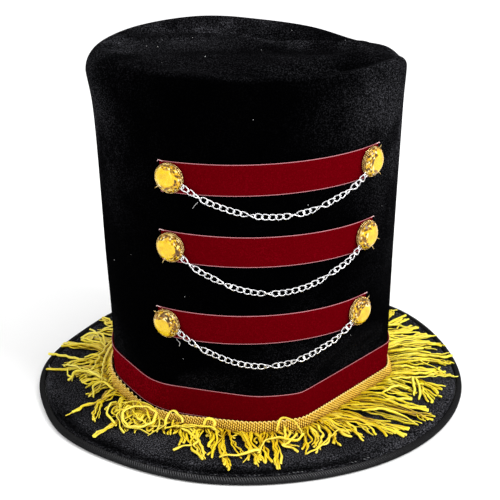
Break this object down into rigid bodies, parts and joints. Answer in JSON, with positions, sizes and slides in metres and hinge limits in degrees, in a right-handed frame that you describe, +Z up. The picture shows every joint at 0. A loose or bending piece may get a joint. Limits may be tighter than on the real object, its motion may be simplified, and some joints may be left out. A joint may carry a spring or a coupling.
{
  "type": "ringmaster hat",
  "caption": "Tall soft black velvet top hat with red ribbons, amber studs, silver chain swags and a yellow fringe round its foot, resting on its brim.",
  "frame": {"origin": "on the surface that the hat rests on, under the middle of the brim", "axes": "+Z up through the crown, -Y towards the decorated front, +X towards the right as seen from the front"},
  "size_m": [0.3099, 0.3166, 0.2484],
  "materials": {
    "black_velvet": "deep black pile velvet, soft sheen at the sides",
    "edge_cord": "dark ribbed cord",
    "red_velvet": "deep red velvet ribbon with fine paler selvedges",
    "gold": "bright gold plate, pierced",
    "amber_stone": "bright yellow amber faceted acrylic",
    "silver": "bright silver plate",
    "yellow_fringe": "yellow gold rayon cord, slightly glossy"
  },
  "bodies": {
    "root": {"crown": "black_velvet", "brim": "black_velvet", "brim_edge": "edge_cord", "hat_band": "red_velvet", "ribbon_top": "red_velvet", "ribbon_middle": "red_velvet", "ribbon_lower": "red_velvet", "setting_top_left": "gold", "setting_top_right": "gold", "setting_middle_left": "gold", "setting_middle_right": "gold", "setting_lower_left": "gold", "setting_lower_right": "gold", "stone_top_left": "amber_stone", "stone_top_right": "amber_stone", "stone_middle_left": "amber_stone", "stone_middle_right": "amber_stone", "stone_lower_left": "amber_stone", "stone_lower_right": "amber_stone", "chain_top": "silver", "chain_middle": "silver", "chain_lower": "silver", "fringe": "yellow_fringe"}
  },
  "joints": []
}
